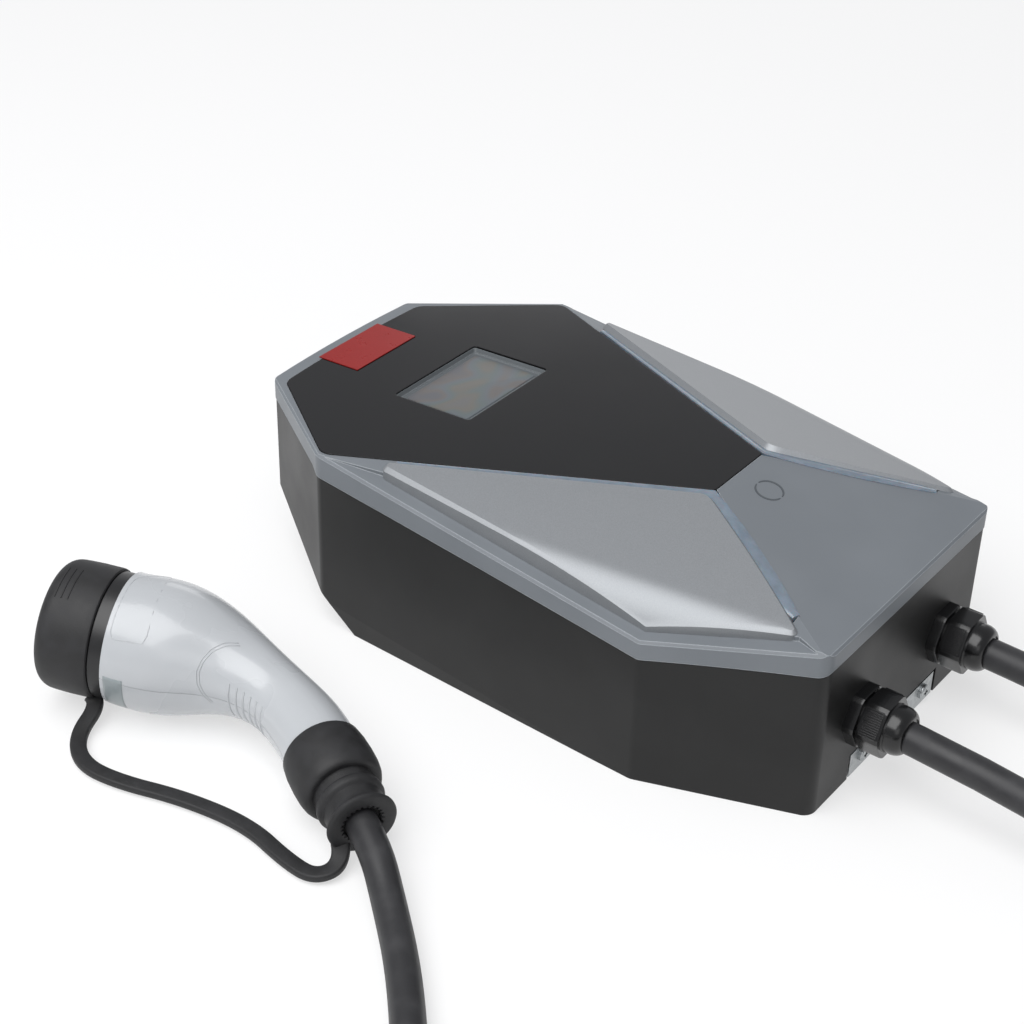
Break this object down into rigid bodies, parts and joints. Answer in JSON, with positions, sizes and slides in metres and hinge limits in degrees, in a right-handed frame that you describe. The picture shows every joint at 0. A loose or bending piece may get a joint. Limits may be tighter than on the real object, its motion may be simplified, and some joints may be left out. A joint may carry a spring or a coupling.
{
  "type": "ev wallbox",
  "caption": "Wall charging box for electric cars with tapered grey front, gloss panel, raised wings, bottom cable glands and a tethered charging connector with a pull-off cap.",
  "frame": {"origin": "middle of the box's width, on the wall face, on the bracket's back", "axes": "+Z out of the front, +Y towards the box's top end, +X to the right seen from the front"},
  "size_m": [0.6759, 0.7049, 0.1202],
  "materials": {
    "tub_abs": "satin",
    "cover_grey": "satin",
    "seal_rubber": "matte",
    "panel_gloss": "gloss",
    "display_glass": "gloss",
    "display_frame": "satin",
    "module_plastic": "matte",
    "badge_red": "satin",
    "wing_silver": "metallic paint",
    "guide_plastic": "translucent",
    "emblem_print": "satin",
    "zinc_steel": "zinc plated",
    "board_green": "satin",
    "supply_metal": "satin",
    "gland_nylon": "satin",
    "shell_white": "gloss",
    "connector_black": "satin",
    "contact_brass": "silver plated",
    "cap_rubber": "matte",
    "cable_rubber": "matte",
    "tie_fabric": "matte",
    "core_plastic": "satin",
    "ferrule_tin": "tin plated"
  },
  "bodies": {
    "wallbox": {"rear_housing": "tub_abs", "front_cover": "cover_grey", "cover_seal": "seal_rubber", "left_gland_seal": "seal_rubber", "right_gland_seal": "seal_rubber", "front_panel": "panel_gloss", "display_glass": "display_glass", "display_frame": "display_frame", "display_module": "module_plastic", "terminal_block": "module_plastic", "power_relays": "module_plastic", "current_sensor": "module_plastic", "badge_plate": "badge_red", "left_wing": "wing_silver", "right_wing": "wing_silver", "left_light_guide": "guide_plastic", "right_light_guide": "guide_plastic", "ring_emblem": "emblem_print", "wall_bracket": "zinc_steel", "bracket_screws": "zinc_steel", "cover_screws": "zinc_steel", "control_board": "board_green", "power_supply": "supply_metal", "left_gland_body": "gland_nylon", "left_gland_locknut": "gland_nylon", "left_gland_nut": "gland_nylon", "right_gland_body": "gland_nylon", "right_gland_locknut": "gland_nylon", "right_gland_nut": "gland_nylon", "connector_shell_upper": "shell_white", "connector_shell_lower": "shell_white", "connector_collar": "connector_black", "connector_nose": "connector_black", "contact_carrier": "connector_black", "contact_sleeves": "contact_brass", "connector_boot": "cap_rubber", "strap_ring": "cap_rubber", "cap_strap": "cap_rubber", "charging_cable": "cable_rubber", "charging_coil": "cable_rubber", "charging_tail": "cable_rubber", "supply_lead": "cable_rubber", "coil_tie": "tie_fabric", "supply_cores": "core_plastic", "core_ferrules": "ferrule_tin"},
    "cap": {"protective_cap": "cap_rubber"}
  },
  "joints": [
    {"name": "cap_pull", "type": "slide", "parent": "wallbox", "child": "cap", "axis": [-0.3907, 0.9167, 0.0834], "range_m": [0, 0.04]}
  ]
}
